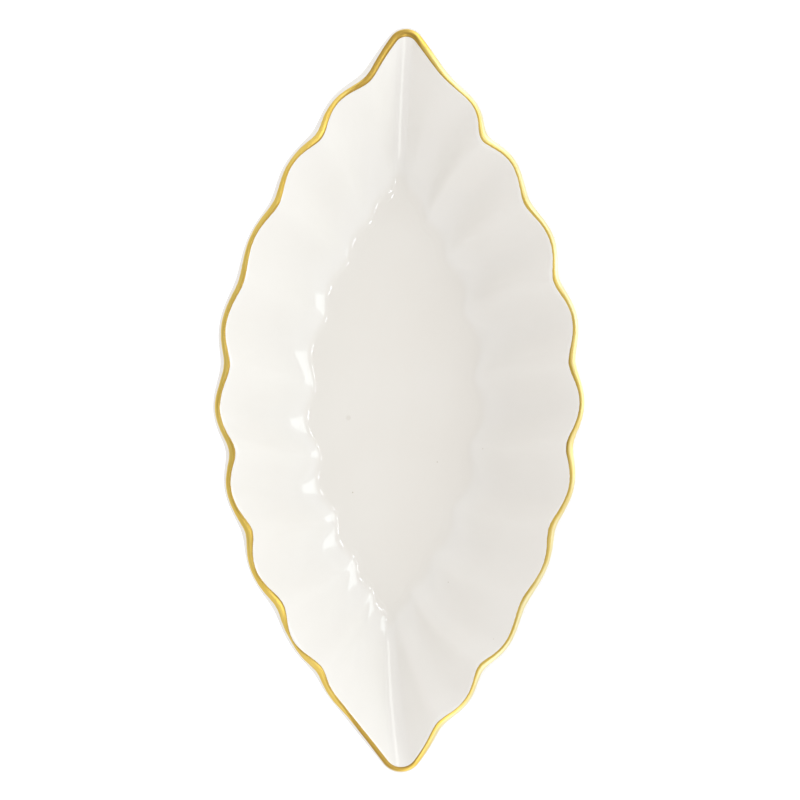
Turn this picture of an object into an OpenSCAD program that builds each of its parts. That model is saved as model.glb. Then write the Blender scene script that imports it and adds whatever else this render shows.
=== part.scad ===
// Leaf shaped serving dish: a fluted porcelain shell on a foot ring, with a gilded scalloped lip.
// The long axis lies along Y, the dish opens towards +Z, and Z = 0 is the surface it stands on.

/* [Dish] */
// Length over the lip, from tip to tip
dish_length = 250; // [200:1:310]
// Width over the lip at the middle of the sides
dish_width = 124; // [105:1:155]
// Height of the porcelain lip above the table, at the middle of the sides
rim_height = 40; // [32:0.5:55]
// How much lower the lip is at the tips
tip_drop = 12; // [0:0.5:16]
// Thickness of the wall at the lip, which has a full round edge
lip_thickness = 3.2; // [2.4:0.1:4.5]

/* [Wall] */
// Slope of the wall where it reaches the lip, in degrees from level
lip_slope = 58; // [52:1:68]
// How far down from the lip the wall keeps close to that slope
lip_sweep = 14; // [8:0.5:18]
// How far out from the floor the wall keeps close to level
well_sweep = 11; // [7:0.5:16]

/* [Well] */
// Length of the flat floor, from tip to tip
well_length = 146; // [120:1:170]
// Width of the flat floor between two opposite flutes
well_width = 56.5; // [48:0.5:70]
// Thickness of the floor
floor_thickness = 4.2; // [3:0.1:6]

/* [Leaf outline] */
// How far the sides of the lip swell out past a parabola
rim_swell = 25; // [15:0.5:30]
// How far the sides of the floor swell out past a parabola
well_swell = 8.5; // [5:0.5:12]
// Radius that rounds the tips of the leaf at the inside of the lip
rim_tip_radius = 4.4; // [2:0.1:8]
// Radius that rounds the tips of the floor, where the two walls meet in a crease
well_tip_radius = 1; // [0.5:0.1:3]

/* [Flutes] */
// Flutes along each side, beside the one at each tip
flutes_per_side = 9; // [6:1:12]
// Depth of the scallops at the lip
flute_depth_rim = 3.1; // [1:0.1:4]
// Depth that the scallops gain half way up the wall
flute_depth_wall = 1.7; // [0:0.1:2.5]
// Depth of the scallops at the edge of the floor
flute_depth_well = 2.4; // [1:0.1:4]
// Share of the depth at the lip that is left beside the tips
rim_tip_share = 0.6; // [0.3:0.05:1]
// Share of the depth at the floor and on the wall that is left beside the tips
well_tip_share = 0.35; // [0.1:0.05:1]
// Share of a quarter by which the flutes crowd towards the tips at the floor
well_crowding = 0.15; // [0:0.01:0.2]
// Share of a quarter by which the lobes at the tips of the lip are wider than the others
tip_lobe_growth = 0.04; // [0:0.005:0.06]
// How far the flutes sit off the middle of the sides at the lip, in degrees round the leaf
rim_drift = 1.3; // [0:0.1:6]
// How far the flutes sit off the middle of the sides at the floor, in degrees round the leaf
well_drift = 7; // [0:0.5:9]
// Roundness of the ridges between flutes, from crisp to wavy
ridge_softness = 0.5; // [0.2:0.05:1]
// Share of the scallops that the outside of the lip lacks
outer_smoothing = 0.35; // [0:0.05:0.6]

/* [Gilding] */
// Thickness of the gold layer
gold_thickness = 0.15; // [0.1:0.05:0.3]
// How far round the lip the gold reaches inwards, in degrees from the crest
gold_inner_angle = 20; // [10:1:45]
// How far round the lip the gold reaches outwards, in degrees from the crest
gold_outer_angle = 52; // [20:1:70]

/* [Foot ring] */
// Height of the foot ring
foot_height = 3; // [2:0.1:5]
// Width of the foot ring where it joins the dish
foot_width = 4.4; // [3.4:0.1:6]
// Width of the flat land that it stands on
foot_land = 1.8; // [1:0.1:2.2]
// Bevel beside the land
foot_bevel = 0.5; // [0.2:0.1:0.6]
// Flat underside left between the foot ring and the ridges outside it
foot_setback = 1.5; // [0.5:0.1:3]

/* [Quality] */
// Points along each flute
steps_per_flute = 8; // [4:2:10]
// Rings up the inside of the wall
inside_steps = 9; // [6:1:12]
// Rings down the outside of the wall
outside_steps = 7; // [5:1:9]

/* [Hidden] */

porcelain_colour = [0.95, 0.94, 0.91];
gold_colour = [0.83, 0.68, 0.3];
bisque_colour = [0.88, 0.85, 0.78];

// Rings round the gold and round the bare lip inside and outside it
gold_steps = 4;
inner_lip_steps = 2;
outer_lip_steps = 4;

// Samples that turn length along the outline into a place on it
arc_samples = 60;

// Smoothness of the foot ring's arcs
foot_facets = 180;

// Flute pitches along one side, the two halves at the tips included
pitches = flutes_per_side + 1;
ring_points = 2 * pitches * steps_per_flute;

// Section through the middle of a side: floor, wall and round lip
lip_radius = lip_thickness / 2;
lip_overhang = lip_radius * (1 + sin(lip_slope));
floor_top = foot_height + floor_thickness;
lip_centre_height = rim_height - lip_radius;
lip_inside_height = lip_centre_height + lip_radius * cos(lip_slope);
wall_run = dish_width / 2 - lip_overhang - well_width / 2;
wall_start = [0, floor_top];
wall_end = [wall_run, lip_inside_height];
wall_curve = [
  wall_start,
  wall_start + [well_sweep, 0],
  wall_end - lip_sweep * [cos(lip_slope), sin(lip_slope)],
  wall_end
];

// Half sizes of the parabolas that the floor and the inside of the lip grow from by their swell
leaf_half_length = dish_length / 2 - lip_overhang;
well_core = leaf_core(well_width / 2, well_length / 2, well_swell, well_tip_radius);
rim_core = leaf_core(dish_width / 2 - lip_overhang, leaf_half_length, rim_swell, rim_tip_radius);

// Middle line of the foot ring: two arcs that meet in points, kept inside the ridges of the wall
well_tip_angle = atan(2 * well_core[0] / well_core[1]);
foot_side_inset = flute_depth_well + foot_setback + foot_width / 2;
foot_tip_gap = flute_depth_well * well_tip_share + foot_setback + foot_width / 2;
foot_half_width = well_width / 2 - foot_side_inset;
foot_half_length = well_length / 2 - foot_tip_gap / sin(well_tip_angle);
foot_arc = (pow(foot_half_width, 2) + pow(foot_half_length, 2)) / (2 * foot_half_width);

function lerp(a, b, share) = a + (b - a) * share;

function radians(angle) = angle * PI / 180;

function clamp(value, low, high) = min(max(value, low), high);

// Parabola whose sides, grown by the swell, run on straight to a tip with a small radius
function leaf_core(half_width, half_length, swell, tip_radius) =
  let (
    width = half_width - swell,
    past = swell - tip_radius,
    taper = past / (2 * width),
    run = half_length - tip_radius
  )
  [width, (run - sqrt(pow(taper * run, 2) + pow(past, 2) * (1 - pow(taper, 2)))) / (1 - pow(taper, 2))];

// Place and direction on the wall's curve, from the floor at 0 to the lip at 1
function wall_place(t) =
  pow(1 - t, 3) * wall_curve[0]
  + 3 * pow(1 - t, 2) * t * wall_curve[1]
  + 3 * (1 - t) * pow(t, 2) * wall_curve[2]
  + pow(t, 3) * wall_curve[3];

function wall_heading(t) =
  pow(1 - t, 2) * (wall_curve[1] - wall_curve[0])
  + 2 * (1 - t) * t * (wall_curve[2] - wall_curve[1])
  + pow(t, 2) * (wall_curve[3] - wall_curve[2]);

function wall_slope(t) = atan2(wall_heading(t)[1], wall_heading(t)[0]);

// Share of the wall's height that is reached at a place on its curve
function wall_climb(t) = (wall_place(t)[1] - floor_top) / (lip_inside_height - floor_top);

// Length along a grown parabola, from the middle of its side
function side_length(core, swell, t) =
  let (
    steep = 2 * core[0] / core[1],
    lean = steep * t,
    slant = sqrt(1 + lean * lean)
  )
  core[1] / (2 * steep) * (lean * slant + ln(lean + slant)) + swell * radians(atan(lean));

// Share of a quarter between the middle of a side at 0 and a tip at 1
function quarter_share(turn) = 1 - abs(1 - (turn + 360) / 90 % 2);

// Scallop round the leaf: 1 on the middle of a flute and 0 on a ridge
function flute(turn) =
  let (
    swing = cos(pitches * (90 - turn)),
    lowest = ridge_softness,
    highest = sqrt(1 + pow(ridge_softness, 2))
  )
  (sqrt(swing * swing + lowest * lowest) - lowest) / (highest - lowest);

function flute_depth(turn, u) =
  let (
    to_tip = (1 - cos(180 * quarter_share(turn))) / 2,
    at_rim = flute_depth_rim * lerp(1, rim_tip_share, to_tip),
    at_well = flute_depth_well * lerp(1, well_tip_share, to_tip),
    on_wall = flute_depth_wall * lerp(1, well_tip_share, to_tip) * 4 * u * (1 - u)
  )
  lerp(at_well, at_rim, u) + on_wall;

// Where round the leaf a flute lies: crowded at the floor, wider at the tips of the lip, and drifted
function flute_place(turn, u) =
  let (
    from_tip = turn / 90 % 2 - 1,
    lobes_off = abs(from_tip) * pitches,
    crowding = well_crowding * (1 - u) * sin(2 * turn),
    widening = tip_lobe_growth * u * sign(from_tip) * lobes_off * exp(1 - lobes_off)
  )
  turn + 90 * (crowding + widening) - lerp(well_drift, rim_drift, u) * cos(turn);

// Scalloped leaf: u runs from the floor at 0 to the lip at 1, climb is the share of the wall's height,
// and grow moves the outline outwards
function leaf_ring(u, climb, grow, height) =
  let (
    core = lerp(well_core, rim_core, u),
    swell = lerp(well_swell, rim_swell, u),
    tip_radius = lerp(well_tip_radius, rim_tip_radius, sqrt(u)),
    steep = 2 * core[0] / core[1],
    slant = sqrt(1 + steep * steep),
    places = [for (k = [0:arc_samples]) [side_length(core, swell, k / arc_samples), k / arc_samples]],
    side = places[arc_samples][0],
    straight = (swell - tip_radius) / steep,
    quarter = side + straight + tip_radius * radians(90 - atan(steep)),
    apex = core[1] + straight * slant,
    kept = 1 - outer_smoothing * clamp(grow / lip_overhang, 0, 1)
  )
  [
    for (i = [0:ring_points - 1])
      let (
        turn = 360 * i / ring_points,
        place = flute_place(turn, u),
        right = cos(place) >= 0 ? 1 : -1,
        front = sin(place) >= 0 ? 1 : -1,
        along = quarter * quarter_share(place),
        t = along < side ? lookup(along, places) : 1,
        past_side = clamp(along - side, 0, straight),
        past_straight = max(along - side - straight, 0),
        facing = atan(steep * t) + past_straight / tip_radius * 180 / PI,
        out = grow - flute_depth(turn, u) * (1 - flute(turn)) * kept,
        on_tip = past_straight > 0,
        radius = (on_tip ? tip_radius : swell) + out,
        x = (on_tip ? 0 : core[0] * (1 - t * t) - past_side * steep / slant) + radius * cos(facing),
        y = (on_tip ? apex : core[1] * t + past_side / slant) + radius * sin(facing)
      )
      [right * x, front * y, height - tip_drop * climb * pow(y / leaf_half_length, 2)]
  ];

function inside_ring(t) = leaf_ring(wall_place(t)[0] / wall_run, wall_climb(t), 0, wall_place(t)[1]);

function outside_ring(t) =
  let (
    u = wall_place(t)[0] / wall_run,
    thickness = lerp(floor_thickness, lip_thickness, u),
    slope = wall_slope(t)
  )
  leaf_ring(u, wall_climb(t), thickness * sin(slope), wall_place(t)[1] - thickness * cos(slope));

// Ring on the round of the lip, at an angle from its crest and raised by the layer that lies on it
function lip_ring(angle, layer) =
  leaf_ring(
    1,
    1,
    lip_radius * sin(lip_slope) + (lip_radius + layer) * sin(angle),
    lip_centre_height + (lip_radius + layer) * cos(angle)
  );

function inner_lip_angle(k) = lerp(-lip_slope, -gold_inner_angle, k / inner_lip_steps);

function gold_angle(k) = lerp(-gold_inner_angle, gold_outer_angle, k / gold_steps);

function outer_lip_angle(k) = lerp(gold_outer_angle, 180 - lip_slope, k / outer_lip_steps);

// Two rows of triangles between two rings, split across either diagonal
function band(from, to, cross) =
  [
    for (i = [0:ring_points - 1])
      let (
        j = (i + 1) % ring_points,
        a = from * ring_points + i,
        b = to * ring_points + i,
        c = to * ring_points + j,
        d = from * ring_points + j
      )
      each cross ? [[a, d, b], [d, c, b]] : [[a, d, c], [a, c, b]]
  ];

// Flat leaf that closes a ring, laid across from side to side
function leaf_cap(ring, face_up) =
  [
    for (i = [-ring_points / 4:ring_points / 4 - 1])
      let (
        start = ring * ring_points,
        a = start + (ring_points + i) % ring_points,
        b = start + (ring_points + i + 1) % ring_points,
        c = start + (ring_points / 2 - i - 1) % ring_points,
        d = start + (ring_points / 2 - i) % ring_points,
        near = a == d ? [] : [[a, d, c]],
        far = b == c ? [] : [[a, c, b]]
      )
      for (f = concat(near, far)) face_up ? f : [f[2], f[1], f[0]]
  ];

// Fluted shell: up the inside from the floor, over the lip and down the outside to the flat base
module porcelain_body() {
  rings = concat(
    [for (k = [0:inside_steps]) inside_ring(k / inside_steps)],
    [for (k = [1:inner_lip_steps - 1]) lip_ring(inner_lip_angle(k), 0)],
    [for (k = [0:gold_steps]) lip_ring(gold_angle(k), 0)],
    [for (k = [1:outer_lip_steps]) lip_ring(outer_lip_angle(k), 0)],
    [for (k = [1:outside_steps]) outside_ring(1 - k / outside_steps)]
  );
  last = len(rings) - 1;
  color(porcelain_colour)
    polyhedron(
      points = [for (ring = rings) each ring],
      faces = concat(
        leaf_cap(0, true),
        [for (k = [0:last - 1]) each band(k, k + 1, false)],
        leaf_cap(last, false)
      )
    );
}

// Gold layer over the crest of the lip, seated on the very triangles of the porcelain
module gold_rim() {
  outer = [for (k = [0:gold_steps]) lip_ring(gold_angle(k), gold_thickness)];
  seat = [for (k = [gold_steps:-1:0]) lip_ring(gold_angle(k), 0)];
  count = 2 * (gold_steps + 1);
  color(gold_colour)
    polyhedron(
      points = [for (ring = concat(outer, seat)) each ring],
      faces = [for (k = [0:count - 1]) each band(k, (k + 1) % count, k > gold_steps)]
    );
}

// Section of the foot ring, with bevels beside the land
module foot_section() {
  half_land = foot_land / 2;
  half_root = foot_width / 2;
  polygon([
    [-half_root, foot_height],
    [-half_land - foot_bevel, foot_bevel],
    [-half_land, 0],
    [half_land, 0],
    [half_land + foot_bevel, foot_bevel],
    [half_root, foot_height]
  ]);
}

// Foot ring: an arc along each side, mitred where the two meet under the tips
module foot_ring() {
  color(bisque_colour)
    for (side = [0, 1])
      mirror([side, 0, 0])
        intersection() {
          translate([foot_half_width - foot_arc, 0, 0])
            rotate_extrude($fn = foot_facets)
              translate([foot_arc, 0])
                foot_section();
          translate([0, -well_length / 2, 0])
            cube([well_width, well_length, foot_height]);
        }
}

porcelain_body();
gold_rim();
foot_ring();
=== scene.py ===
"""Dresses the leaf shaped porcelain dish: a fluted glazed body, a painted gold line and a bare foot ring."""

import math

import bpy
import numpy as np
from bpy.props import FloatProperty, FloatVectorProperty, IntProperty, PointerProperty
from mathutils import Matrix, Vector


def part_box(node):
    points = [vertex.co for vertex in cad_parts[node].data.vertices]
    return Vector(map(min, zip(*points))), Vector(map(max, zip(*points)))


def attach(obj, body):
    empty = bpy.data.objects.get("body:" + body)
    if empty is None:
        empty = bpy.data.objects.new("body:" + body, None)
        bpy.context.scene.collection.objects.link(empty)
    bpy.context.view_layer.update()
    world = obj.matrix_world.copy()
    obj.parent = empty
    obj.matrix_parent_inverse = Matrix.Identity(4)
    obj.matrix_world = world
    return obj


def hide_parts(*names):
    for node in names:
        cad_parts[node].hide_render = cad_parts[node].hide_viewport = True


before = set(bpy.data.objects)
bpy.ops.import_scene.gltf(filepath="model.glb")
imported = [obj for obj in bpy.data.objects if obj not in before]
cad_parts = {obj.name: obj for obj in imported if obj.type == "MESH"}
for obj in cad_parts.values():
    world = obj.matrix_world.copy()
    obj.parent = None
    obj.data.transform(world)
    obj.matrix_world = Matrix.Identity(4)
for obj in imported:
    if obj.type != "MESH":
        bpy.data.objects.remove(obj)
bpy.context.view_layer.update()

bl_info = {
    "name": "Leaf shaped porcelain dish",
    "version": (1, 0, 0),
    "blender": (4, 5, 0),
    "location": "View3D > Sidebar > Leaf dish",
    "description": "Builds a fluted leaf dish with a gilded rim around its packed frame",
    "category": "Add Mesh",
}

MM = 0.001
BODY_LOW, BODY_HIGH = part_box("porcelain_body")
FOOT_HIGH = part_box("foot_ring")[1]

# Mesh density
POINTS_PER_FLUTE = 32
TIP_DENSITY = 0.8
INSIDE_STEPS = 48
LIP_STEPS = 18
OUTSIDE_STEPS = 30
FLOOR_COLUMNS = 36
GOLD_POINTS_PER_FLUTE = 120
GOLD_STEPS = 12

# Samples along the wall's curve, and steps that find a place along a side
CLIMB_SAMPLES = 200
WALK_SAMPLES = 400
NEWTON_STEPS = 8

# Slow unevenness of the lip, as waves round the leaf: amplitude, waves per turn, and phase in degrees
LIP_WAVES = (
    (0.06 * MM, 2, -90),
    (0.40 * MM, 3, -90),
    (0.15 * MM, 4, 90),
)

# Slow change of the flutes' depth, in the same form, with amplitudes as shares of the depth
FLUTE_WAVES = (
    (0.08, 1, -28),
    (0.09, 2, -90),
)

# Ridges that were pressed shallower or deeper: number round from the right side, and share
RIDGE_TOUCHES = (
    (0, 0.95),
    (1, 1.10),
    (3, 2.00),
    (4, 0.75),
    (5, 1.30),
    (6, 1.38),
    (7, 1.15),
    (8, 0.80),
    (9, 1.16),
    (10, 1.50),
    (12, 0.80),
    (13, 0.78),
    (14, 0.10),
    (15, 1.50),
    (16, 1.50),
    (17, 0.75),
    (19, 1.05),
)

# Lobes of the lip that bulge more or less than the leaf: number round from the right side, and growth
LOBE_TOUCHES = (
    (4, 0.4 * MM),
    (6, 1.2 * MM),
    (7, 0.5 * MM),
    (8, -0.5 * MM),
    (12, 0.6 * MM),
    (14, -0.4 * MM),
    (16, 0.4 * MM),
    (17, 0.9 * MM),
)

# Where the gold runs wide or thin: flutes round from the right, inner growth, outer growth, spread in flutes
GOLD_TOUCHES = (
    (4.95, 1.1 * MM, 0.1 * MM, 0.30),
    (5.2, 0.6 * MM, -0.2 * MM, 0.20),
    (5.5, 1.2 * MM, -0.9 * MM, 0.34),
    (6.0, 0.6 * MM, -0.7 * MM, 0.30),
    (6.5, 1.0 * MM, -0.8 * MM, 0.26),
    (7.2, 0.4 * MM, -0.5 * MM, 0.45),
    (8.3, 0.2 * MM, -0.4 * MM, 0.60),
    (9.6, 0.1 * MM, -0.4 * MM, 0.70),
    (10.8, 0.1 * MM, -0.3 * MM, 0.60),
    (11.5, 0.8 * MM, -0.5 * MM, 0.22),
    (12.45, 1.3 * MM, -0.6 * MM, 0.25),
    (12.95, -0.5 * MM, -0.4 * MM, 0.22),
    (13.5, 0.8 * MM, -0.5 * MM, 0.24),
    (14.4, 0.2 * MM, -0.4 * MM, 0.40),
    (15.7, -0.4 * MM, 0.2 * MM, 0.40),
    (1.6, -0.4 * MM, 0.1 * MM, 0.30),
    (0.5, 0.25 * MM, -0.3 * MM, 3.00),
    (17.5, 0.25 * MM, -0.3 * MM, 1.80),
)

# Where the gold gets painted sheen, or painted shade if under 0: degrees round from the right, share, spread
# in degrees
GOLD_SHEEN_PATCHES = (
    (27, 0.5, 8),
    (-2, -0.6, 26),
    (94, -1.0, 8),
    (266, -0.9, 7),
)

# Flaws in the glaze: place across and along the leaf, radius, and how much of the iron colour shows
GLAZE_SPECKS = (
    (-15.6 * MM, -6.6 * MM, 1.10 * MM, 0.14),
    (30.0 * MM, -16.8 * MM, 0.28 * MM, 0.75),
    (14.8 * MM, -21.5 * MM, 0.22 * MM, 0.75),
    (-14.0 * MM, -32.0 * MM, 0.25 * MM, 0.75),
    (18.5 * MM, -62.2 * MM, 0.20 * MM, 0.75),
    (32.5 * MM, -80.0 * MM, 0.24 * MM, 0.75),
    (9.5 * MM, -82.5 * MM, 0.20 * MM, 0.75),
)

# How touches and finishes spread over the dish
FLOOR_TOUCH_SHARE = 0.2
CREASE_SHARPNESS = 4
# On the inside the pooled glaze colour also paints the floor darker than the walls, as painted shade
SHADE_POOL_RISE_INSIDE = 0.45 * MM
POOL_RISE_OUTSIDE = 2.5 * MM
SLOW_DRAWS_PER_FLUTE = 3
QUICK_DRAWS_PER_FLUTE = 28
TIP_RAGGED_SHARE = 0.1
# Where the gold's painted sheen starts round the right side, and how sharply it sets in
SHEEN_START = 0.04
SHEEN_SHARPNESS = 9

# Studio
FLOOR_HALF = 2.0
CARD_HEIGHT = 1.5
SENSOR_WIDTH = 36.0
NEAR_CLIP = 0.05
WHITE = (1.0, 1.0, 1.0, 1.0)


def length(name, description, default):
    """A size that a user can change, shown in the scene's units."""
    return FloatProperty(name=name, description=description, default=default, unit="LENGTH", precision=5)


def angle(name, description, degrees):
    """An angle that a user can change."""
    return FloatProperty(name=name, description=description, default=math.radians(degrees), subtype="ANGLE")


def share(name, description, default):
    """A plain number without a unit."""
    return FloatProperty(name=name, description=description, default=default, precision=4)


def whole(name, description, default):
    """A whole number that a user can change."""
    return IntProperty(name=name, description=description, default=default)


def colour(name, description, default):
    """A colour that a user can change, in linear light."""
    return FloatVectorProperty(name=name, description=description, default=default, size=3, subtype="COLOR",
                               min=0.0, max=1.0)


class LeafDishSizes(bpy.types.PropertyGroup):
    """Sizes of the porcelain, with the outer ones taken from the frame."""

    dish_length: length("Length", "Length over the lip, from tip to tip", BODY_HIGH[1] - BODY_LOW[1])
    dish_width: length("Width", "Width over the lip at the middle of the sides", BODY_HIGH[0] - BODY_LOW[0])
    rim_height: length("Height", "Height of the porcelain lip above the table", BODY_HIGH[2])
    tip_drop: length("Tip drop", "How much lower the lip is at the tips than at the middle", 12 * MM)
    foot_height: length("Foot height", "Height of the foot ring under the floor", FOOT_HIGH[2])
    floor_thickness: length("Floor thickness", "Thickness of the floor", 4.2 * MM)
    floor_sag: length("Floor sag", "How far the middle of the floor sank in the kiln", 0.3 * MM)
    lip_thickness: length("Lip thickness", "Thickness of the wall at its round lip", 3.2 * MM)
    lip_slope: angle("Lip slope", "Slope of the wall where it reaches the lip", 58)
    lip_sweep: length("Lip sweep", "How far down the wall keeps close to that slope", 14 * MM)
    well_sweep: length("Well sweep", "How far out from the floor the wall keeps close to level", 11 * MM)
    well_length: length("Well length", "Length of the flat floor", 145.6 * MM)
    well_width: length("Well width", "Width of the flat floor between opposite flutes", 56.4 * MM)
    rim_swell: length("Lip swell", "How far the sides of the lip swell past a parabola", 25 * MM)
    well_swell: length("Well swell", "How far the sides of the floor swell past a parabola", 8.5 * MM)
    rim_tip_radius: length("Lip tip radius", "Radius of the tips inside the lip", 4.4 * MM)
    well_tip_radius: length("Well tip radius", "Radius of the tips of the floor", 0.9 * MM)
    flutes_per_side: whole("Flutes", "Flutes along each side, beside the tips", 9)
    flute_depth_rim: length("Flute depth at lip", "Depth of the scallops at the lip", 3.15 * MM)
    flute_depth_well: length("Flute depth at floor", "Depth of the scallops at the floor", 2.4 * MM)
    flute_depth_wall: length("Flute depth on wall", "Depth that the scallops gain half way up", 1.7 * MM)
    rim_tip_share: share("Lip depth at tips", "Share of the lip's depth that is left beside the tips", 0.58)
    well_tip_share: share("Floor depth at tips", "Share of floor and wall depth left beside the tips", 0.25)
    rim_crowding: share("Lip crowding", "Share of a quarter that flutes crowd tipwards at the lip", 0.006)
    well_crowding: share("Floor crowding", "Share of a quarter that flutes crowd tipwards at the floor", 0.15)
    tip_lobe_growth: share("Tip lobes", "Share of a quarter by which the lobes at the tips are wider", 0.042)
    outer_smoothing: share("Outer smoothing", "Share of the scallops that the outside of the lip lacks", 0.35)
    ridge_softness: share("Ridge softness", "Roundness of the ridges between flutes", 0.5)


class LeafDishHand(bpy.types.PropertyGroup):
    """Traces of hand work that make this dish uneven."""

    rim_drift: angle("Lip drift", "How far the middle flutes sit off the middle at the lip", 1.3)
    well_drift: angle("Floor drift", "How far the middle flutes sit off the middle at the floor", 7.0)
    rim_skew: angle("Lip skew", "How far flutes are turned round the leaf at the lip", 0.8)
    well_skew: angle("Floor skew", "How far flutes are turned round the leaf at the floor", 2.4)
    well_twist: angle("Well twist", "How far the floor is turned against the lip", 1.0)
    bow: length("Bow", "How far the tips are bent to one side", 1.8 * MM)
    flute_spread: share("Flute spread", "Share by which the depth differs from ridge to ridge", 0.08)
    seed: whole("Seed", "Start of the random differences", 7)


class LeafDishGold(bpy.types.PropertyGroup):
    """Sizes of the gold line on the lip."""

    thickness: length("Thickness", "Thickness of the gold at the middle of the line", 0.06 * MM)
    root: length("Root", "How far the line's edges sink into the glaze", 0.03 * MM)
    inner_reach: length("Inner reach", "How far the line reaches inwards from the crest", 0.58 * MM)
    outer_reach: length("Outer reach", "How far the line reaches outwards from the crest", 1.42 * MM)
    wander: length("Wander", "How far the brush strays from its line", 0.16 * MM)
    ragged: length("Ragged edge", "Unevenness of the line's edges", 0.05 * MM)


class LeafDishFinish(bpy.types.PropertyGroup):
    """Colours of the finishes."""

    glaze: colour("Glaze", "White glaze over the porcelain", (0.872, 0.858, 0.824))
    # Creamier glaze where it pooled; on the floor it is also painted shade, darker than the walls
    glaze_cream_and_shade: colour("Thick glaze", "Glaze where it lies thick, beside the floor", (0.822, 0.796, 0.746))
    speck: colour("Speck", "Iron specks in the glaze", (0.42, 0.36, 0.26))
    gold: colour("Gold", "Gold where it lies thick", (0.75, 0.53, 0.115))
    # Pale gold where it lies thin, also painted sheen towards the line's outer side and on the right
    gold_thin_and_sheen: colour("Thin gold", "Gold where it lies thin and pale", (0.79, 0.64, 0.24))
    # Pale gold of the painted sheen on the right side
    gold_sheen: colour("Sparse gold", "Gold where the brush ran dry", (0.80, 0.72, 0.43))
    # Brown edge where the gold fires out, also painted reflection of the dark surroundings at the line's
    # inner edge
    gold_edge_and_shade: colour("Gold edge", "Brown edge where the gold fires out", (0.40, 0.25, 0.05))
    bisque: colour("Bisque", "Bare porcelain of the foot", (0.74, 0.69, 0.60))
    bisque_worn: colour("Worn bisque", "Foot where it has rubbed on tables", (0.50, 0.46, 0.40))
    floor: colour("Floor", "Pale floor under the dish", (0.9, 0.9, 0.9))


class LeafDishStage(bpy.types.PropertyGroup):
    """Camera and light of the studio."""

    camera_distance: length("Camera distance", "From the lens to the lip", 1.2)
    camera_lean_side: angle("Lean to the side", "How far the camera stands to the left of upright", 3.6)
    camera_lean_front: angle("Lean along", "How far the camera stands towards the far tip", 0.8)
    camera_roll: angle("Roll", "Turn of the picture", 0.4)
    aim_side: length("Aim to the side", "Where the camera looks at, right of the middle", -0.14 * MM)
    aim_front: length("Aim along", "Where the camera looks at, towards the far tip", 0.03 * MM)
    picture_width: length("Picture width", "Width that the picture covers at the lip", 265.2 * MM)
    sky_tint: colour("Sky tint", "Colour of the light from all sides", (1.0, 0.98, 0.97))
    sky_even: share("Even sky", "Strength of the even light from all sides", 0.945)
    sky_right: share("Sky at right", "Light that low places at the right add and at the left lack", 0.09)
    sky_up: share("Sky above", "Light that the sky adds overhead", -0.14)
    sky_across: share("Sky across", "Light that low places at both sides add", 0.08)
    sky_along: share("Sky along", "Light that low places at both tips add", 0.31)
    sky_slant: share("Slanting sky", "Light that high places at the right add and at the left lack", 0.05)
    key_strength: share("Soft box", "Radiance of the soft box at the right", 2.9)
    window_strength: share("Windows", "Radiance of the two tall windows at the right", 2.4)
    lamp_strength: share("Small lamps", "Radiance of the two small lamps near the camera", 13.0)
    card_glow: share("Lens card", "Brightness of the card round the lens that only reflections show", 0.65)
    left_card_glow: share("Left card", "Brightness of the darker card at the left of the lens", 0.5)
    floor_glow: share("Floor glow", "Share of white that the floor adds for the lens", 0.70)


class LeafDishSettings(bpy.types.PropertyGroup):
    """All settings of the dish."""

    sizes: PointerProperty(type=LeafDishSizes)
    hand: PointerProperty(type=LeafDishHand)
    gold: PointerProperty(type=LeafDishGold)
    finish: PointerProperty(type=LeafDishFinish)
    stage: PointerProperty(type=LeafDishStage)


def lerp(a, b, t):
    """Straight blend from a at 0 to b at 1."""
    return a + (b - a) * t


def ease(t):
    """Smooth step from 0 to 1 along half a cosine."""
    return (1 - np.cos(math.pi * t)) / 2


def waves(turn, rows):
    """Sum of cosine waves round the leaf."""
    return sum(size * np.cos(count * turn + math.radians(phase)) for size, count, phase in rows)


def round_table(turn, values):
    """Smooth closed curve through values that stand at even steps round the leaf."""
    place = turn / (2 * math.pi) * len(values)
    below = np.floor(place).astype(int)
    return lerp(values[below % len(values)], values[(below + 1) % len(values)], ease(place - below))


def leaf_core(half_width, half_length, swell, tip_radius):
    """Half sizes of a parabola whose sides, grown by the swell, run straight to tips with a small radius."""
    width = half_width - swell
    past = swell - tip_radius
    ratio = past / (2 * width)
    run = half_length - tip_radius
    cut = math.sqrt((ratio * run)**2 + past**2 * (1 - ratio**2))
    return np.array([width, (run - cut) / (1 - ratio**2)])


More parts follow.
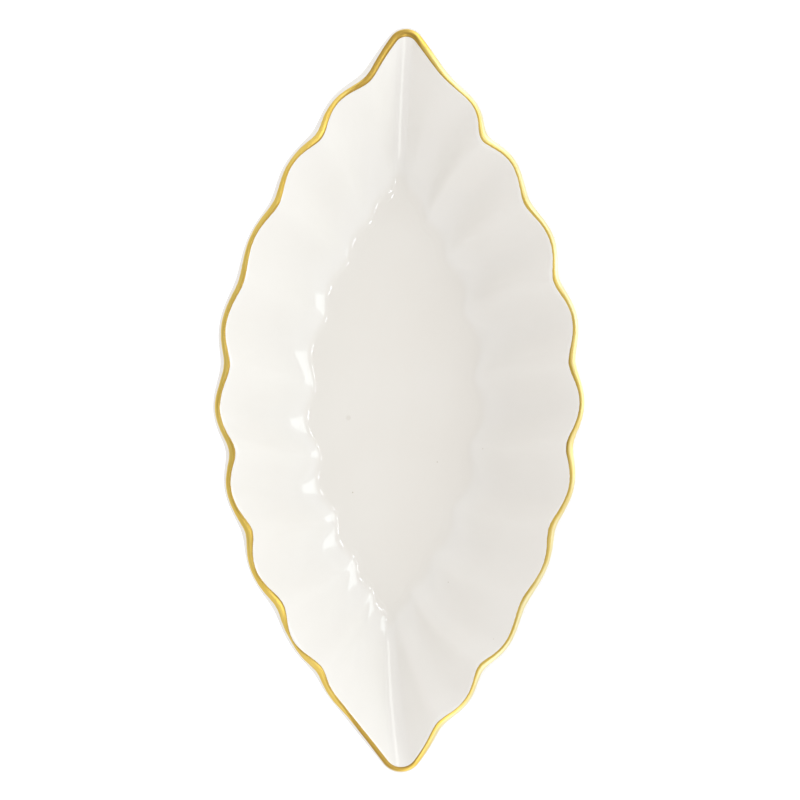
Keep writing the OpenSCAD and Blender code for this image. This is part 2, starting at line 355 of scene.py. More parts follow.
class DishForm:
    """Formulas of the dish, in metres: its section through a side and its scalloped leaf outline."""

    def __init__(self, settings):
        sizes = settings.sizes
        self.sizes = sizes
        self.hand = settings.hand
        self.pitches = sizes.flutes_per_side + 1
        self.lip_radius = sizes.lip_thickness / 2
        self.lip_centre = sizes.rim_height - self.lip_radius
        self.floor_top = sizes.foot_height + sizes.floor_thickness
        self.overhang = self.lip_radius * (1 + math.sin(sizes.lip_slope))
        self.wall_run = (sizes.dish_width - sizes.well_width) / 2 - self.overhang
        lean = np.array([math.cos(sizes.lip_slope), math.sin(sizes.lip_slope)])
        start = np.array([0.0, self.floor_top])
        end = np.array([self.wall_run, self.lip_centre + self.lip_radius * lean[0]])
        self.wall_curve = np.array([start, start + [sizes.well_sweep, 0], end - sizes.lip_sweep * lean, end])
        climb = self.wall_place(np.linspace(0, 1, CLIMB_SAMPLES))
        self.climb_out = climb[:, 0] / self.wall_run
        self.climb_share = (climb[:, 1] - self.floor_top) / (end[1] - self.floor_top)
        self.half_length = sizes.dish_length / 2 - self.overhang
        self.well_core = leaf_core(sizes.well_width / 2, sizes.well_length / 2, sizes.well_swell,
                                   sizes.well_tip_radius)
        self.rim_core = leaf_core(sizes.dish_width / 2 - self.overhang, self.half_length, sizes.rim_swell,
                                  sizes.rim_tip_radius)
        draws = np.random.default_rng(settings.hand.seed)
        self.ridge_factors = 1 + settings.hand.flute_spread * draws.uniform(-1, 1, 2 * self.pitches)
        for ridge, factor in RIDGE_TOUCHES:
            self.ridge_factors[ridge] *= factor
        self.lobe_growth = np.zeros(2 * self.pitches)
        for lobe, growth in LOBE_TOUCHES:
            self.lobe_growth[lobe] = growth

    def wall_place(self, t):
        """Distance out from the floor's edge and height, from the floor at 0 to the lip at 1."""
        t = np.asarray(t, float)[..., None]
        c = self.wall_curve
        return (1 - t)**3 * c[0] + 3 * (1 - t)**2 * t * c[1] + 3 * (1 - t) * t**2 * c[2] + t**3 * c[3]

    def wall_slope(self, t):
        """Slope of the wall at the same places."""
        t = np.asarray(t, float)[..., None]
        step = np.diff(self.wall_curve, axis=0)
        heading = (1 - t)**2 * step[0] + 2 * (1 - t) * t * step[1] + t**2 * step[2]
        return np.arctan2(heading[..., 1], heading[..., 0])

    def inside(self, t):
        """Outline share, growth and height on the inside of the wall."""
        place = self.wall_place(t)
        return place[..., 0] / self.wall_run, np.zeros_like(place[..., 0]), place[..., 1]

    def outside(self, t):
        """The same on the outside, one wall thickness away."""
        place = self.wall_place(t)
        slope = self.wall_slope(t)
        u = place[..., 0] / self.wall_run
        thickness = lerp(self.sizes.floor_thickness, self.sizes.lip_thickness, u)
        return u, thickness * np.sin(slope), place[..., 1] - thickness * np.cos(slope)

    def on_lip(self, turned, layer=0.0):
        """The same on the round lip, at an angle from its crest and a layer above it."""
        radius = self.lip_radius + layer
        grow = self.lip_radius * math.sin(self.sizes.lip_slope) + radius * np.sin(turned)
        return np.ones_like(grow), grow, self.lip_centre + radius * np.cos(turned)

    def from_crest(self, reach, layer):
        """The same at a distance from the crest, measured over the lip and on down the inside of the wall."""
        turned = reach / self.lip_radius
        lip = self.on_lip(np.maximum(turned, -self.sizes.lip_slope), layer)
        below = np.maximum(-reach - self.lip_radius * self.sizes.lip_slope, 0)
        steps = np.linspace(1, 0, WALK_SAMPLES)
        places = self.wall_place(steps)
        walked = np.concatenate([[0], np.cumsum(np.linalg.norm(np.diff(places, axis=0), axis=1))])
        t = np.interp(below, walked, steps)
        slope = self.wall_slope(t)
        u, grow, height = self.inside(t)
        wall = (u, grow - layer * np.sin(slope), height + layer * np.cos(slope))
        on_wall = below > 0
        return tuple(np.where(on_wall, low, high) for low, high in zip(wall, lip))

    def flute(self, turn):
        """Scallop round the leaf: 1 on the middle of a flute and 0 on a ridge."""
        soft = self.sizes.ridge_softness
        swing = np.cos(self.pitches * (math.pi / 2 - turn))
        return (np.sqrt(swing**2 + soft**2) - soft) / (math.sqrt(1 + soft**2) - soft)

    def flute_depth(self, turn, u):
        """Depth of the scallops, which gain on the wall and fade beside the creases at the tips."""
        sizes = self.sizes
        to_tip = ease(1 - np.abs(1 - (turn / (math.pi / 2)) % 2))
        by_crease = to_tip**CREASE_SHARPNESS
        at_well = sizes.flute_depth_well * lerp(1, sizes.well_tip_share, to_tip)
        at_rim = sizes.flute_depth_rim * lerp(1, sizes.rim_tip_share, to_tip)
        uneven = 1 + waves(turn, FLUTE_WAVES)
        touched = round_table(turn - math.pi / (2 * self.pitches), self.ridge_factors)
        pressed = lerp(1, touched, lerp(FLOOR_TOUCH_SHARE, 1, u))
        half_way = 4 * u * (1 - u) * (1 - by_crease)
        on_wall = sizes.flute_depth_wall * lerp(1, sizes.well_tip_share, to_tip) * half_way
        return (lerp(at_well, at_rim, lerp(u, u**2, by_crease)) + on_wall) * uneven * pressed

    def flute_place(self, turn, u):
        """Where a flute's own angle lies round the leaf: crowded to the tips, and drifted by hand."""
        sizes = self.sizes
        hand = self.hand
        crowd = lerp(sizes.well_crowding, sizes.rim_crowding, u) * np.sin(2 * turn)
        from_tip = (turn / (math.pi / 2)) % 2 - 1
        lobes_off = np.abs(from_tip) * self.pitches
        crowd = crowd + sizes.tip_lobe_growth * u * np.sign(from_tip) * lobes_off * np.exp(1 - lobes_off)
        drift = lerp(hand.well_drift, hand.rim_drift, u) * np.cos(turn)
        skew = lerp(hand.well_skew, hand.rim_skew, u) * np.cos(turn)**2
        return turn + math.pi / 2 * crowd - drift + skew

    @staticmethod
    def side_length(core, swell, t):
        """Length along a grown parabola, up to a share of its half length."""
        steep = 2 * core[..., 0] / core[..., 1]
        lean = steep * t
        slant = np.sqrt(1 + lean**2)
        return core[..., 1] / (2 * steep) * (lean * slant + np.arcsinh(lean)) + swell * np.arctan(lean)

    def side_place(self, core, swell, along):
        """Where a length along a grown parabola ends, as a share of its half length, by Newton's steps."""
        steep = 2 * core[..., 0] / core[..., 1]
        t = along / (core[..., 1] * np.sqrt(1 + (steep / 2)**2))
        for _ in range(NEWTON_STEPS):
            slant = np.sqrt(1 + (steep * t)**2)
            miss = self.side_length(core, swell, t) - along
            t = np.clip(t - miss / (core[..., 1] * slant + swell * steep / slant**2), 0, 1.2)
        return t

    def leaf_points(self, turn, u, grow, height):
        """Points of the scalloped leaf: turn goes round it, u runs from the floor at 0 to the lip at 1."""
        sizes = self.sizes
        hand = self.hand
        turn, u, grow, height = np.broadcast_arrays(turn, u, grow, height)
        core = lerp(self.well_core, self.rim_core, u[..., None])
        swell = lerp(sizes.well_swell, sizes.rim_swell, u)
        tip_radius = lerp(sizes.well_tip_radius, sizes.rim_tip_radius, np.sqrt(np.clip(u, 0, 1)))
        steep = 2 * core[..., 0] / core[..., 1]
        end_facing = np.arctan(steep)
        slant = np.sqrt(1 + steep**2)
        side = self.side_length(core, swell, 1)
        straight = (swell - tip_radius) / steep
        quarter = side + straight + tip_radius * (math.pi / 2 - end_facing)
        place = self.flute_place(turn, u)
        right = np.where(np.cos(place) >= 0, 1, -1)
        front = np.where(np.sin(place) >= 0, 1, -1)
        along = quarter * (1 - np.abs(1 - (place / (math.pi / 2)) % 2))
        t = np.where(along < side, self.side_place(core, swell, np.minimum(along, side)), 1)
        past_side = np.clip(along - side, 0, straight)
        past_straight = np.maximum(along - side - straight, 0)
        facing = np.arctan(steep * t) + past_straight / tip_radius
        smooth = 1 - sizes.outer_smoothing * np.clip(grow / self.overhang, 0, 1)
        uneven = waves(turn, LIP_WAVES) + round_table(turn, self.lobe_growth)
        out = grow + uneven * u - self.flute_depth(turn, u) * (1 - self.flute(turn)) * smooth
        on_tip = past_straight > 0
        apex = core[..., 1] + (swell - tip_radius) * slant / steep
        radius = np.where(on_tip, tip_radius, swell) + out
        side_x = core[..., 0] * (1 - t**2) - past_side * steep / slant
        side_y = core[..., 1] * t + past_side / slant
        x = right * (np.where(on_tip, 0, side_x) + radius * np.cos(facing))
        y = front * (np.where(on_tip, apex, side_y) + radius * np.sin(facing))
        to_tip = (y / self.half_length)**2
        x = x + hand.bow * u * to_tip
        height = height - sizes.tip_drop * to_tip * np.interp(u, self.climb_out, self.climb_share)
        twist = hand.well_twist * (1 - u)
        turned_x = x * np.cos(twist) + y * np.sin(twist)
        turned_y = y * np.cos(twist) - x * np.sin(twist)
        return np.stack([turned_x, turned_y, height], -1)


def ring_faces(rings, points, closed=False):
    """Quads between neighbouring rings of points, and from the last ring to the first if closed."""
    faces = []
    for k in range(rings if closed else rings - 1):
        for i in range(points):
            j = (i + 1) % points
            up = (k + 1) % rings
            faces.append((k * points + i, up * points + i, up * points + j, k * points + j))
    return faces


def make_piece(name, points, faces, material):
    """A smooth mesh object that rides on the dish and takes its finish from a slot."""
    mesh = bpy.data.meshes.new(name)
    mesh.from_pydata([tuple(p) for p in points], [], faces)
    mesh.validate()
    mesh.shade_smooth()
    mesh.materials.append(material)
    piece = bpy.data.objects.new(name, mesh)
    bpy.context.scene.collection.objects.link(piece)
    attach(piece, "root")
    return piece


def store_values(mesh, name, values):
    """Keeps a value at each point of a mesh, for its material to read."""
    layer = mesh.attributes.new(name, "FLOAT", "POINT")
    layer.data.foreach_set("value", values.astype(np.float32))


def flat_sheet(name, left, right, half_depth, height, material):
    """A level sheet for the stage."""
    mesh = bpy.data.meshes.new(name)
    front = [(left, -half_depth, height), (right, -half_depth, height)]
    back = [(right, half_depth, height), (left, half_depth, height)]
    mesh.from_pydata(front + back, [], [(0, 1, 2, 3)])
    mesh.materials.append(material)
    sheet = bpy.data.objects.new(name, mesh)
    bpy.context.scene.collection.objects.link(sheet)
    return sheet


def floor_grid(edge, columns, first):
    """Points and faces that fill a ring from side to side; the ring's own points keep their numbers."""
    count = len(edge)
    quarter = count // 4
    points = []
    rows = []
    for i in range(-quarter, quarter + 1):
        right = i % count
        left = (count // 2 - i) % count
        if right == left:
            rows.append([right] * (columns + 1))
            continue
        inner = [first + len(points) + k for k in range(columns - 1)]
        points += [lerp(edge[right], edge[left], (k + 1) / columns) for k in range(columns - 1)]
        rows.append([right] + inner + [left])
    faces = []
    for low, high in zip(rows, rows[1:]):
        for k in range(columns):
            corners = [low[k], high[k], high[k + 1], low[k + 1]]
            faces.append(tuple(dict.fromkeys(corners)))
    return points, faces


class Board:
    """Adds nodes to a tree and joins them, so that a material reads from top to bottom."""

    def __init__(self, tree):
        self.tree = tree
        tree.nodes.clear()

    def add(self, kind, inputs=None, **settings):
        """A new node with its settings made first and its inputs fed after them."""
        node = self.tree.nodes.new(kind)
        for name, value in settings.items():
            setattr(node, name, value)
        for socket, value in (inputs or {}).items():
            self.feed(node.inputs[socket], value)
        return node

    def feed(self, socket, value):
        """Links a socket to another one, or gives it a plain value."""
        if isinstance(value, bpy.types.NodeSocket):
            self.tree.links.new(value, socket)
        else:
            socket.default_value = value

    def math(self, operation, *values):
        """Result of a sum on values or sockets."""
        node = self.add("ShaderNodeMath", operation=operation)
        for socket, value in zip(node.inputs, values):
            self.feed(socket, value)
        return node.outputs[0]

    def blend(self, factor, a, b):
        """Colour between a at 0 and b at 1."""
        node = self.add("ShaderNodeMix", data_type="RGBA")
        self.feed(node.inputs[0], factor)
        self.feed(node.inputs[6], a)
        self.feed(node.inputs[7], b)
        return node.outputs[2]

    def spread(self, value, low, high, to_low, to_high):
        """Value moved from one range to another, and held inside it."""
        node = self.add("ShaderNodeMapRange", {0: value, 1: low, 2: high, 3: to_low, 4: to_high})
        return node.outputs[0]

    def bump(self, height, strength, distance):
        """Normal that is tilted by the slope of a height."""
        node = self.add("ShaderNodeBump", {"Height": height, "Strength": strength, "Distance": distance})
        return node.outputs["Normal"]

    def seen_by_lens(self):
        """1 for rays that show the background: those of the lens, of reflections and of clear pieces."""
        path = self.add("ShaderNodeLightPath").outputs
        seen = self.math("MAXIMUM", path["Is Camera Ray"], path["Is Glossy Ray"])
        return self.math("MAXIMUM", seen, path["Is Transmission Ray"])


def solid(value):
    """A colour with full alpha."""
    return (*value, 1.0)


def kiln_mottle():
    """Shared group: broad clouds and fine grain that firing leaves in a surface."""
    name = "kiln mottle"
    if name in bpy.data.node_groups:
        return bpy.data.node_groups[name]
    tree = bpy.data.node_groups.new(name, "ShaderNodeTree")
    tree.interface.new_socket("Place", in_out="INPUT", socket_type="NodeSocketVector")
    for label, default in (("Broad Scale", 30.0), ("Fine Scale", 600.0)):
        socket = tree.interface.new_socket(label, in_out="INPUT", socket_type="NodeSocketFloat")
        socket.default_value = default
    for label in ("Clouds", "Grain"):
        tree.interface.new_socket(label, in_out="OUTPUT", socket_type="NodeSocketFloat")
    board = Board(tree)
    start = board.add("NodeGroupInput").outputs
    clouds = board.add("ShaderNodeTexNoise", {"Vector": start["Place"], "Scale": start["Broad Scale"],
                                              "Detail": 2.0, "Roughness": 0.4})
    grain = board.add("ShaderNodeTexNoise", {"Vector": start["Place"], "Scale": start["Fine Scale"],
                                             "Detail": 3.0, "Roughness": 0.55})
    board.add("NodeGroupOutput", {"Clouds": clouds.outputs["Fac"], "Grain": grain.outputs["Fac"]})
    return tree


def new_material(name):
    """A fresh material and the board for its nodes."""
    material = bpy.data.materials.new(name)
    material.use_nodes = True
    return material, Board(material.node_tree)


def new_finish(name):
    """A fresh material with its board, its shader and the place on the piece that its textures follow."""
    material, board = new_material(name)
    shader = board.add("ShaderNodeBsdfPrincipled")
    board.add("ShaderNodeOutputMaterial", {"Surface": shader.outputs["BSDF"]})
    place = board.add("ShaderNodeTexCoord").outputs["Object"]
    return material, board, shader, place


def add_mottle(board, place, broad, fine):
    """Clouds and grain from the shared group, at a finish's own scales."""
    scales = {"Place": place, "Broad Scale": broad, "Fine Scale": fine}
    node = board.add("ShaderNodeGroup", scales, node_tree=kiln_mottle())
    return node.outputs["Clouds"], node.outputs["Grain"]


def white_glaze(finish, specks):
    """Glossy warm white glaze with faint ripples, creamier where it pooled, darker on the floor as painted
    shade, and a few iron specks.
    """
    material, board, shader, place = new_finish("white glaze")
    clouds, grain = add_mottle(board, place, 38.0, 700.0)
    # Pooled glaze, which on the floor is also painted shade
    pooled_and_shade = board.add("ShaderNodeAttribute", attribute_name="pooled_and_shade").outputs["Fac"]
    cloudy = board.spread(clouds, 0.35, 0.75, 0.0, 0.25)
    cream_and_shade = board.math("ADD", board.math("MULTIPLY", pooled_and_shade, 0.7), cloudy)
    base = board.blend(cream_and_shade, solid(finish.glaze), solid(finish.glaze_cream_and_shade))
    spot = 0.0
    for centre, radius, strength in specks:
        away = board.add("ShaderNodeVectorMath", {0: place, 1: centre}, operation="DISTANCE").outputs["Value"]
        spot = board.math("MAXIMUM", board.spread(away, radius * 0.5, radius, strength, 0.0), spot)
    base = board.blend(spot, base, solid(finish.speck))
    board.feed(shader.inputs["Base Color"], base)
    board.feed(shader.inputs["Roughness"], board.spread(clouds, 0.3, 0.7, 0.03, 0.06))
    ripple = board.math("ADD", clouds, board.math("MULTIPLY", grain, 0.012))
    ripple = board.math("SUBTRACT", ripple, board.math("MULTIPLY", spot, 0.4))
    board.feed(shader.inputs["Normal"], board.bump(ripple, 0.4, 0.25 * MM))
    shader.inputs["IOR"].default_value = 1.5
    return material


def painted_gold(finish):
    """Burnished gold with brush streaks, paler on the right side as painted sheen, browner at the tips as
    painted shade, and brown at its inner edge, partly from firing and partly as painted reflection.
    """
    material, board, shader, place = new_finish("painted gold")
    clouds, grain = add_mottle(board, place, 90.0, 1500.0)
    brush = board.add("ShaderNodeUVMap", uv_map="brush").outputs["UV"]
    stretched = board.add("ShaderNodeVectorMath", {0: brush, 1: (60.0, 5.0, 1.0)}, operation="MULTIPLY")
    streaks = {"Vector": stretched.outputs["Vector"], "Scale": 1.0, "Detail": 2.0}
    streak = board.add("ShaderNodeTexNoise", streaks).outputs["Fac"]
    across = board.add("ShaderNodeSeparateXYZ", {0: brush}).outputs["Y"]
    wavy = board.math("ADD", across, board.spread(streak, 0.3, 0.7, -0.12, 0.12))
    # Over 0 painted sheen, along the right side; under 0 painted shade, as at the tips
    sheen_and_shade = board.add("ShaderNodeAttribute", attribute_name="sheen_and_shade").outputs["Fac"]
    uneven = board.math("ADD", board.math("MULTIPLY", streak, 0.6), board.math("MULTIPLY", clouds, 0.4))
    # Thin gold from the brush streaks, paler towards the outer side and on the right side as painted sheen
    thin = board.spread(uneven, 0.42, 0.64, 0.0, 1.0)
    thin = board.math("MULTIPLY", thin, board.spread(wavy, 0.25, 0.6, 0.3, 1.0))
    thin = board.math("MULTIPLY", thin, board.spread(sheen_and_shade, 0.0, 0.5, 0.45, 1.0))
    base = board.blend(thin, solid(finish.gold), solid(finish.gold_thin_and_sheen))
    # Painted sheen: pale gold on the right side, towards the line's outer side
    pale = board.math("MULTIPLY", sheen_and_shade, board.spread(wavy, 0.3, 0.65, 0.0, 1.0))
    base = board.blend(pale, base, solid(finish.gold_sheen))
    # Brown inner edge: partly gold that fires out, partly painted reflection of dark surroundings; painted
    # shade widens it at the tips, the painted sheen narrows it at the right
    thick = board.spread(sheen_and_shade, -0.8, 0.0, 0.95, 0.0)
    edge_shade_shift = board.math("ADD", board.spread(sheen_and_shade, 0.0, 1.0, 0.1, -0.24), thick)
    edge = board.spread(board.math("SUBTRACT", wavy, edge_shade_shift), 0.1, 0.34, 0.9, 0.0)
    base = board.blend(edge, base, solid(finish.gold_edge_and_shade))
    board.feed(shader.inputs["Base Color"], base)
    board.feed(shader.inputs["Roughness"], board.spread(streak, 0.3, 0.7, 0.33, 0.45))
    height = board.math("ADD", streak, board.math("MULTIPLY", grain, 0.05))
    board.feed(shader.inputs["Normal"], board.bump(height, 0.2, 0.05 * MM))
    shader.inputs["Metallic"].default_value = 1.0
    return material


def bare_bisque(finish):
    """Unglazed porcelain with a dry grain, rubbed grey on the land that it stands on."""
    material, board, shader, place = new_finish("bare bisque")
    clouds, grain = add_mottle(board, place, 120.0, 2600.0)
    height = board.add("ShaderNodeSeparateXYZ", {0: place}).outputs["Z"]
    low = board.spread(height, 0.0, 0.5 * MM, 1.0, 0.0)
    worn = board.math("MULTIPLY", low, board.spread(clouds, 0.3, 0.6, 0.3, 1.0))
    base = board.blend(worn, solid(finish.bisque), solid(finish.bisque_worn))
    base = board.blend(board.spread(grain, 0.55, 0.75, 0.0, 0.35), base, solid(finish.bisque_worn))
    board.feed(shader.inputs["Base Color"], base)
    board.feed(shader.inputs["Roughness"], board.spread(clouds, 0.3, 0.7, 0.7, 0.88))
    board.feed(shader.inputs["Normal"], board.bump(grain, 0.5, 0.12 * MM))
    return material


class LEAFDISH_OT_porcelain_body(bpy.types.Operator):
    """Model the fluted porcelain shell, from the floor over the lip to the flat base"""

    bl_idname = "leafdish.porcelain_body"
    bl_label = "Porcelain body"

    def execute(self, context):
        settings = context.scene.leaf_dish
        form = DishForm(settings)
        points = 2 * form.pitches * POINTS_PER_FLUTE
        turn = np.arange(points) * 2 * math.pi / points
        turn = turn + TIP_DENSITY / 2 * np.sin(2 * turn)
        up = np.linspace(0, 1, INSIDE_STEPS + 1)
        slope = settings.sizes.lip_slope
        over = np.linspace(-slope, math.pi - slope, LIP_STEPS + 1)[1:]
        down = np.linspace(1, 0, OUTSIDE_STEPS + 1)[1:]
        sections = [form.inside(up), form.on_lip(over), form.outside(down)]
        u, grow, height = (np.concatenate(part)[:, None] for part in zip(*sections))
        rings = form.leaf_points(turn[None, :], u, grow, height)
        count = len(rings)
        shell = rings.reshape(-1, 3)
        faces = ring_faces(count, points)
        floor_points, floor_faces = floor_grid(rings[0], FLOOR_COLUMNS, len(shell))
        floor_points = self.sunk(form, np.array(floor_points))
        base_start = (count - 1) * points
        _, base_faces = floor_grid(rings[-1], 1, 0)
        faces += floor_faces
        faces += [tuple(base_start + i for i in reversed(face)) for face in base_faces]
        everything = np.concatenate([shell, floor_points])
        number = np.arange(len(everything))
        inside = (number < (INSIDE_STEPS + 1) * points) | (number >= len(shell))
        specks = [(self.surface_point(everything[inside], x, y), radius, strength)
                  for x, y, radius, strength in GLAZE_SPECKS]
        material = white_glaze(settings.finish, specks)
        piece = make_piece("fluted_body", everything, faces, material)
        self.mark_pool_and_shade(piece.data, form, everything, inside)
        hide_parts("porcelain_body")
        return {"FINISHED"}

    @staticmethod
    def sunk(form, points):
        """The floor, a little lower in its middle."""
        sizes = form.sizes
        across = points[:, 0] / (sizes.well_width / 2)
        along = points[:, 1] / (sizes.well_length / 2)
        points[:, 2] -= sizes.floor_sag * np.clip(1 - across**2 - along**2, 0, 1)
        return points

    @staticmethod
    def surface_point(surface, x, y):
        """A place in plan, at the height of the nearest point of a surface."""
        away = np.hypot(surface[:, 0] - x, surface[:, 1] - y)
        return x, y, surface[away.argmin(), 2]

    @staticmethod
    def mark_pool_and_shade(mesh, form, points, inside):
        """Stores how thick the glaze lies, which also paints shade on the floor: it pools on the floor, and
        outside just above the foot.
        """
        rise = points[:, 2] - np.where(inside, form.floor_top, form.sizes.foot_height)
        reach = np.where(inside, SHADE_POOL_RISE_INSIDE, POOL_RISE_OUTSIDE)
        store_values(mesh, "pooled_and_shade", np.exp(-(np.maximum(rise, 0) / reach)**2))


class LEAFDISH_OT_gold_rim(bpy.types.Operator):
    """Paint the gold line over the lip, with the wandering width of a brush"""

    bl_idname = "leafdish.gold_rim"
    bl_label = "Gold rim"

    def execute(self, context):
        settings = context.scene.leaf_dish
        form = DishForm(settings)
        gold = settings.gold
        flutes = 2 * form.pitches
        points = flutes * GOLD_POINTS_PER_FLUTE
        turn = np.arange(points) * 2 * math.pi / points
        inner, outer = self.edges(turn, flutes, settings)
        across = np.linspace(0, 1, GOLD_STEPS + 1)[:, None]
        reach = lerp(-inner[None, :], outer[None, :], across)
        dome = np.sqrt(np.clip(1 - (2 * across - 1)**4, 0, 1))
        top = form.from_crest(reach, lerp(-gold.root, gold.thickness, dome) * np.ones_like(reach))
        seat = form.from_crest(reach[::-1][1:-1], -gold.root * np.ones_like(reach[1:-1]))
        sections = [np.concatenate(pair) for pair in zip(top, seat)]
        rings = form.leaf_points(turn[None, :], *sections)
        faces = ring_faces(len(rings), points, closed=True)
        material = painted_gold(settings.finish)
        piece = make_piece("gold_line", rings.reshape(-1, 3), faces, material)
        self.map_brush(piece.data, len(rings), points)
        self.mark_sheen_and_shade(piece.data, turn, len(rings))
        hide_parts("gold_rim")
        return {"FINISHED"}

    @staticmethod
    def edges(turn, flutes, settings):
        """How far the line reaches inwards and outwards from the crest, all round the leaf."""
        gold = settings.gold
        draws = np.random.default_rng(settings.hand.seed + 1)
        slow = [round_table(turn, draws.uniform(-1, 1, SLOW_DRAWS_PER_FLUTE * flutes)) for _ in range(2)]
        quick = [round_table(turn, draws.uniform(-1, 1, QUICK_DRAWS_PER_FLUTE * flutes)) for _ in range(2)]
        place = turn / (2 * math.pi) * flutes
        from_tip = np.abs(place % (flutes / 2) - flutes / 4)
        ragged = gold.ragged * np.clip(from_tip, TIP_RAGGED_SHARE, 1)
        inner = gold.inner_reach + gold.wander * slow[0] + ragged * quick[0]
        outer = gold.outer_reach + gold.wander * slow[1] + ragged * quick[1]
        for centre, grow_in, grow_out, spread in GOLD_TOUCHES:
            away = (place - centre + flutes / 2) % flutes - flutes / 2
            touch = np.exp(-(away / spread)**2)
            inner = inner + grow_in * touch
            outer = outer + grow_out * touch
        return inner, outer

    @staticmethod
    def mark_sheen_and_shade(mesh, turn, rings):
        """Stores where the gold gets painted sheen, along the right side, and painted shade, as at the tips.
        """
        sheen_and_shade = (1 + np.tanh(SHEEN_SHARPNESS * (np.cos(turn) - SHEEN_START))) / 2
        for centre, more, spread in GOLD_SHEEN_PATCHES:
            away = (np.degrees(turn) - centre + 180) % 360 - 180
            sheen_and_shade = sheen_and_shade + more * np.exp(-(away / spread)**2)
        store_values(mesh, "sheen_and_shade", np.tile(np.clip(sheen_and_shade, -1, 1), rings))

    @staticmethod
    def map_brush(mesh, rings, points):
        """Lays a map along and across the line, for the brush streaks, in the order of ring_faces."""
        ring, place = np.divmod(np.arange(rings * points), points)
        ring = np.stack([ring, ring + 1, ring + 1, ring], 1) % rings
        along = np.stack([place, place, place + 1, place + 1], 1) / points
        across = np.minimum(ring, 2 * GOLD_STEPS - ring) / GOLD_STEPS
        layer = mesh.uv_layers.new(name="brush")
        layer.data.foreach_set("uv", np.stack([along, across], -1).astype(np.float32).ravel())


class LEAFDISH_OT_foot_ring(bpy.types.Operator):
    """Give the foot ring its bare porcelain finish"""

    bl_idname = "leafdish.foot_ring"
    bl_label = "Foot ring"

    def execute(self, context):
        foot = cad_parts["foot_ring"]
        material = bare_bisque(context.scene.leaf_dish.finish)
        foot.data.materials.clear()
        foot.data.materials.append(material)
        return {"FINISHED"}


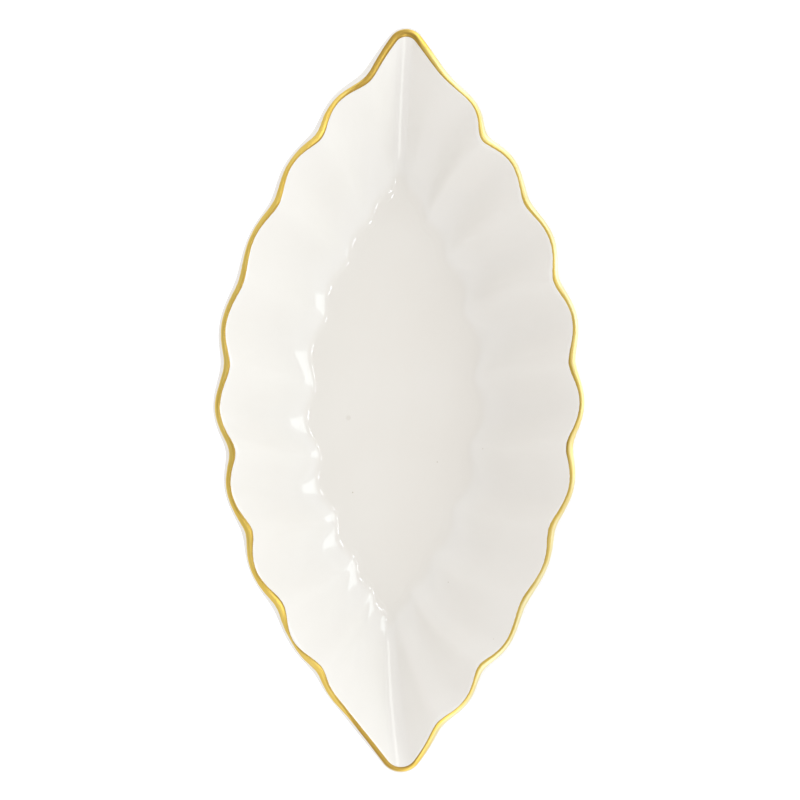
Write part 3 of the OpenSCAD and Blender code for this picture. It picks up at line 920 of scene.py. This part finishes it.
class LEAFDISH_OT_stage(bpy.types.Operator):
    """Set up the pale floor, the soft studio light and the camera above the dish"""

    bl_idname = "leafdish.stage"
    bl_label = "Studio stage"

    def execute(self, context):
        settings = context.scene.leaf_dish
        stage = settings.stage
        self.add_floor(settings)
        self.add_world(context.scene, stage)
        self.add_light("soft_box", tilt=51, azimuth=8, distance=1.12, size=(0.34, 0.70),
                       radiance=stage.key_strength, tint=(0.86, 0.98, 1.0))
        for name, azimuth in (("front_window", -74), ("back_window", 64)):
            window = self.add_light(name, tilt=56, azimuth=azimuth, distance=1.4, size=(0.34, 1.5),
                                    radiance=stage.window_strength, tint=(0.97, 1.0, 0.97))
            window.visible_diffuse = False
        for name, azimuth in (("front_lamp", -9), ("back_lamp", 15)):
            self.add_light(name, tilt=17.5, azimuth=azimuth, distance=1.1, size=(0.07, 0.05),
                           radiance=stage.lamp_strength, tint=(0.88, 0.88, 1.0))
        self.add_card("lens_card", left=-0.6, right=0.4, half_depth=0.7, glow=stage.card_glow)
        self.add_card("left_card", left=-1.5, right=-0.6, half_depth=0.9, glow=stage.left_card_glow)
        self.add_camera(context.scene, settings)
        context.scene.view_settings.view_transform = "Standard"
        return {"FINISHED"}

    @staticmethod
    def add_floor(settings):
        """A pale floor that takes the dish's shadow and adds white for the lens."""
        material, board = new_material("pale floor")
        matt = board.add("ShaderNodeBsdfDiffuse", {"Color": solid(settings.finish.floor)})
        glow = board.add("ShaderNodeEmission", {"Color": WHITE, "Strength": settings.stage.floor_glow})
        dark = board.add("ShaderNodeEmission", {"Strength": 0.0})
        seen = board.seen_by_lens()
        half_seen = board.math("MULTIPLY", seen, 0.5)
        lens = board.add("ShaderNodeMixShader", {0: seen, 1: dark.outputs[0], 2: glow.outputs[0]})
        dim = board.add("ShaderNodeMixShader", {0: half_seen, 1: matt.outputs[0], 2: dark.outputs[0]})
        both = board.add("ShaderNodeAddShader", {0: dim.outputs[0], 1: lens.outputs[0]})
        board.add("ShaderNodeOutputMaterial", {"Surface": both.outputs[0]})
        floor = flat_sheet("floor", -FLOOR_HALF, FLOOR_HALF, FLOOR_HALF, 0.0, material)

    @staticmethod
    def add_world(scene, stage):
        """Soft light from all sides, stronger where the sky's terms say, and white behind the dish."""
        world = bpy.data.worlds.new("studio")
        world.use_nodes = True
        board = Board(world.node_tree)
        axes = board.add("ShaderNodeSeparateXYZ", {0: board.add("ShaderNodeTexCoord").outputs["Generated"]})
        right, along, up = axes.outputs
        terms = (
            (stage.sky_right, right, 1.0),
            (stage.sky_up, up, 1.0),
            (stage.sky_across, right, right),
            (stage.sky_along, along, along),
            (stage.sky_slant, right, up),
        )
        sky = stage.sky_even
        for strength, a, b in terms:
            sky = board.math("ADD", sky, board.math("MULTIPLY", strength, board.math("MULTIPLY", a, b)))
        even = board.add("ShaderNodeBackground", {"Color": solid(stage.sky_tint), "Strength": sky})
        white = board.add("ShaderNodeBackground", {"Color": WHITE, "Strength": 1.0})
        seen = board.seen_by_lens()
        mixed = board.add("ShaderNodeMixShader", {0: seen, 1: even.outputs[0], 2: white.outputs[0]})
        board.add("ShaderNodeOutputWorld", {"Surface": mixed.outputs[0]})
        scene.world = world

    @staticmethod
    def add_light(name, tilt, azimuth, distance, size, radiance, tint):
        """A flat lamp that faces the dish from a tilt off upright; its radiance sets its power."""
        lamp = bpy.data.lights.new(name, "AREA")
        lamp.shape = "RECTANGLE"
        lamp.size, lamp.size_y = size
        lamp.energy = radiance * math.pi * size[0] * size[1]
        lamp.color = tint
        light = bpy.data.objects.new(name, lamp)
        tilt = math.radians(tilt)
        azimuth = math.radians(azimuth)
        aside = math.sin(tilt)
        away = Vector((aside * math.cos(azimuth), aside * math.sin(azimuth), math.cos(tilt)))
        light.location = away * distance
        light.rotation_euler = (-away).to_track_quat("-Z", "Y").to_euler()
        bpy.context.scene.collection.objects.link(light)
        return light

    @staticmethod
    def add_card(name, left, right, half_depth, glow):
        """A level card high over the dish, which only reflections show."""
        material, board = new_material(name)
        light = board.add("ShaderNodeEmission", {"Color": WHITE, "Strength": glow})
        board.add("ShaderNodeOutputMaterial", {"Surface": light.outputs[0]})
        card = flat_sheet(name, left, right, half_depth, CARD_HEIGHT, material)
        card.visible_camera = card.visible_diffuse = card.visible_shadow = False

    @staticmethod
    def add_camera(scene, settings):
        """A camera almost straight above the dish, framed by the width that the picture covers."""
        stage = settings.stage
        target = Vector((stage.aim_side, stage.aim_front, settings.sizes.rim_height))
        away = Vector((-math.tan(stage.camera_lean_side), math.tan(stage.camera_lean_front), 1)).normalized()
        lens = bpy.data.cameras.new("camera")
        lens.sensor_width = SENSOR_WIDTH
        lens.lens = SENSOR_WIDTH * stage.camera_distance / stage.picture_width
        lens.clip_start = NEAR_CLIP
        camera = bpy.data.objects.new("camera", lens)
        right = Vector((0, 1, 0)).cross(away).normalized()
        upward = away.cross(right)
        facing = Matrix((right, upward, away)).transposed() @ Matrix.Rotation(stage.camera_roll, 3, "Z")
        camera.matrix_world = Matrix.Translation(target + away * stage.camera_distance) @ facing.to_4x4()
        scene.collection.objects.link(camera)
        scene.camera = camera


class LEAFDISH_PT_sidebar(bpy.types.Panel):
    """Lists the settings and the steps that build the dish"""

    bl_idname = "LEAFDISH_PT_sidebar"
    bl_label = "Leaf dish"
    bl_space_type = "VIEW_3D"
    bl_region_type = "UI"
    bl_category = "Leaf dish"

    def draw(self, context):
        settings = context.scene.leaf_dish
        for group in (settings.sizes, settings.hand, settings.gold, settings.finish, settings.stage):
            box = self.layout.box()
            for name in group.bl_rna.properties.keys():
                if name not in {"rna_type", "name"}:
                    box.prop(group, name)
        for operator in OPERATORS:
            self.layout.operator(operator.bl_idname)


OPERATORS = (
    LEAFDISH_OT_stage,
    LEAFDISH_OT_porcelain_body,
    LEAFDISH_OT_gold_rim,
    LEAFDISH_OT_foot_ring,
)
CLASSES = (
    LeafDishSizes,
    LeafDishHand,
    LeafDishGold,
    LeafDishFinish,
    LeafDishStage,
    LeafDishSettings,
    *OPERATORS,
    LEAFDISH_PT_sidebar,
)


def register():
    """Adds the dish's classes and its settings to Blender."""
    for item in CLASSES:
        bpy.utils.register_class(item)
    bpy.types.Scene.leaf_dish = PointerProperty(type=LeafDishSettings)


def unregister():
    """Takes them out again."""
    del bpy.types.Scene.leaf_dish
    for item in reversed(CLASSES):
        bpy.utils.unregister_class(item)


def main():
    """Builds the stage and the dish."""
    register()
    bpy.ops.leafdish.stage()
    bpy.ops.leafdish.porcelain_body()
    bpy.ops.leafdish.gold_rim()
    bpy.ops.leafdish.foot_ring()


if __name__ == "__main__":
    main()
